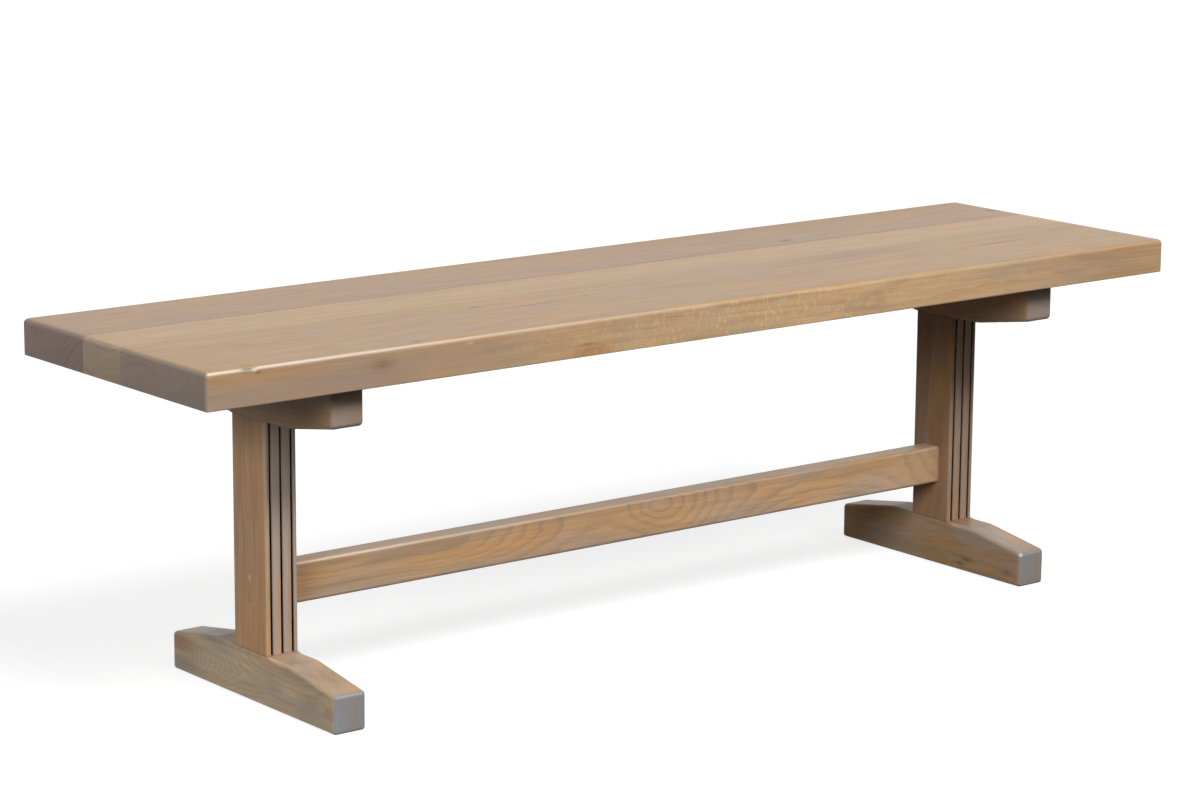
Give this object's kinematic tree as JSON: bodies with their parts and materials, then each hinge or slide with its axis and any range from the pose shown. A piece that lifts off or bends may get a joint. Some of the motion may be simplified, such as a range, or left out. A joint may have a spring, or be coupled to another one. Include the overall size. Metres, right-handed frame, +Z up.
{
  "type": "trestle bench",
  "caption": "Long oak bench with a thick staved seat on two grooved trestle uprights with shaped feet and bearers, tied by a low stretcher.",
  "frame": {"origin": "on the floor under the middle of the seat", "axes": "+X along the seat to the right as seen from the front, +Y from the front to the back, +Z up"},
  "size_m": [1.5, 0.4, 0.45],
  "materials": {
    "seat_oak": "matt whitewashed oak, grey-beige, fine pores, satin on the rounded edges",
    "frame_oak": "matt whitewashed oak, warmer and browner than the seat's top, grey in the pores",
    "plug_oak": "matt oak plugs, trimmed flush with the upright",
    "zinc_steel": "bright zinc-plated steel"
  },
  "bodies": {
    "root": {"bearer_left": "frame_oak", "bearer_right": "frame_oak", "foot_left": "frame_oak", "foot_right": "frame_oak", "seat_screws_left": "zinc_steel", "seat_screws_right": "zinc_steel", "seat_stave_front": "seat_oak", "seat_stave_front_middle": "seat_oak", "seat_stave_rear": "seat_oak", "seat_stave_rear_middle": "seat_oak", "seat_washers_left": "zinc_steel", "seat_washers_right": "zinc_steel", "stretcher": "frame_oak", "stretcher_plugs_left": "plug_oak", "stretcher_plugs_right": "plug_oak", "stretcher_screws_left": "zinc_steel", "stretcher_screws_right": "zinc_steel", "upright_left": "frame_oak", "upright_right": "frame_oak"}
  },
  "joints": []
}
